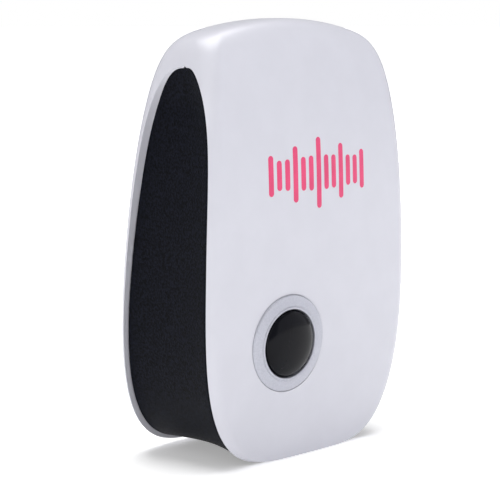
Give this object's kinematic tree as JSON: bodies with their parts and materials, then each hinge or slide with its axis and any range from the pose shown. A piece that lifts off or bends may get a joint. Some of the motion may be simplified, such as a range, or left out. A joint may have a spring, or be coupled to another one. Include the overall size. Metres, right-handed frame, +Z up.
{
  "type": "ultrasonic pest repeller",
  "caption": "Plug-in ultrasonic pest repeller: rounded white case with a black side band, a domed push button in a silver ring and flat plug blades at the back.",
  "frame": {"origin": "centre of the bounding box's base: on the plane the case stands on, half way across the width, and half way between the front of the button's dome and the tips of the plug blades", "axes": "+Z up, -Y out of the front face with the button, +Y out of the back towards the wall socket, +X to the right of a viewer facing the front"},
  "size_m": [0.0622, 0.0486, 0.09],
  "materials": {
    "white_cover": "satin",
    "black_band": "fine grained satin",
    "silver_ring": "satin silver",
    "spring_steel": "plain",
    "black_dome": "polished",
    "switch_plastic": "matte",
    "tinned_metal": "tinned",
    "emblem_ink": "printed ink",
    "label_film": "satin film",
    "board_laminate": "solder mask",
    "led_lens": "clear lens",
    "transducer_metal": "satin",
    "piezo_ceramic": "matte",
    "phenolic": "matte",
    "gasket_rubber": "matte",
    "wire_sleeve": "soft",
    "plug_plastic": "satin",
    "blade_metal": "nickel plated",
    "contact_brass": "plain",
    "capacitor_box": "satin",
    "capacitor_sleeve": "satin",
    "coil_winding": "enamelled",
    "chip_epoxy": "matte",
    "fuse_coating": "matte",
    "resistor_coating": "satin",
    "screw_steel": "zinc plated"
  },
  "bodies": {
    "case": {"front_cover": "white_cover", "rear_cover": "white_cover", "side_band": "black_band", "trim_ring": "silver_ring", "ring_retainer": "spring_steel", "switch_body": "switch_plastic", "switch_legs": "tinned_metal", "front_emblem": "emblem_ink", "rating_label": "label_film", "main_board": "board_laminate", "indicator_leds": "led_lens", "transducer_cup": "transducer_metal", "piezo_element": "piezo_ceramic", "transducer_base": "phenolic", "transducer_gasket": "gasket_rubber", "transducer_leads": "wire_sleeve", "plug_base": "plug_plastic", "plug_blades": "blade_metal", "contact_strips": "contact_brass", "film_capacitor": "capacitor_box", "electrolytic_capacitors": "capacitor_sleeve", "driver_coil": "coil_winding", "timer_chip": "chip_epoxy", "chip_legs": "tinned_metal", "drive_transistors": "chip_epoxy", "fuse_resistor": "fuse_coating", "resistors": "resistor_coating", "rectifier_diodes": "chip_epoxy", "board_screws": "screw_steel", "case_screws": "screw_steel"},
    "button": {"button_cap": "black_dome", "switch_plunger": "switch_plastic"}
  },
  "joints": [
    {"name": "button_press", "type": "slide", "parent": "case", "child": "button", "axis": [0.0296, 0.9975, 0.0645], "range_m": [0, 0.001], "stiffness_N_per_m": 600, "springref_m": -0.0008}
  ]
}
